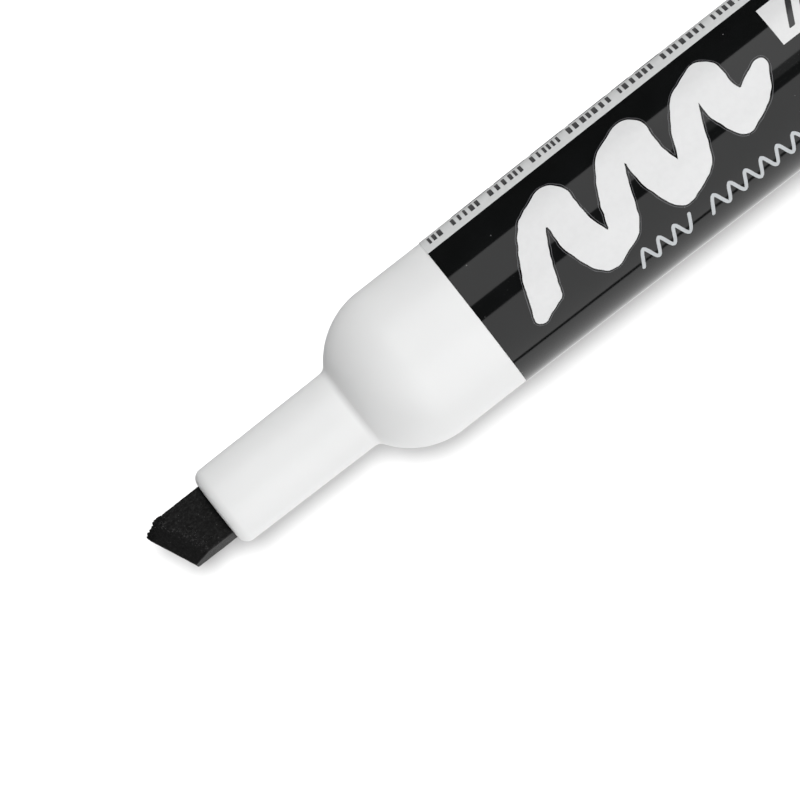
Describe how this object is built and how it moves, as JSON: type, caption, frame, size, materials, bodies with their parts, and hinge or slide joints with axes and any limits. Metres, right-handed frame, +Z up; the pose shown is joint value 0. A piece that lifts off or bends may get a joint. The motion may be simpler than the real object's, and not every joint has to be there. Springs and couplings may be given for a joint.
{
  "type": "whiteboard marker",
  "caption": "Chisel-tip whiteboard marker with a slim nozzle, a domed white shoulder, a black printed barrel and a ribbed black cap posted on its rear end.",
  "frame": {"origin": "centre of the bounding box in X and Y, on the surface that the marker lies on, with the cap posted", "axes": "+X along the marker's axis from the nib to the posted cap, +Z up from the surface that it lies on"},
  "size_m": [0.1476, 0.0196, 0.0195],
  "materials": {
    "white_plastic": "satin moulded polypropylene",
    "label_film": "glossy printed film",
    "nib_felt": "ink-soaked bonded felt",
    "ink_fibre": "ink-soaked fibre",
    "sleeve_film": "thin clear film",
    "black_plastic": "satin moulded polypropylene",
    "liner_plastic": "natural polyethylene"
  },
  "bodies": {
    "marker": {"barrel": "white_plastic", "barrel_label": "label_film", "nib": "nib_felt", "ink_reservoir": "ink_fibre", "reservoir_sleeve": "sleeve_film", "rear_plug": "black_plastic"},
    "cap": {"cap_shell": "black_plastic", "cap_liner": "liner_plastic"}
  },
  "joints": [
    {"name": "cap_slide", "type": "slide", "parent": "marker", "child": "cap", "axis": [1, 0, 0], "range_m": [0, 0.03]}
  ]
}
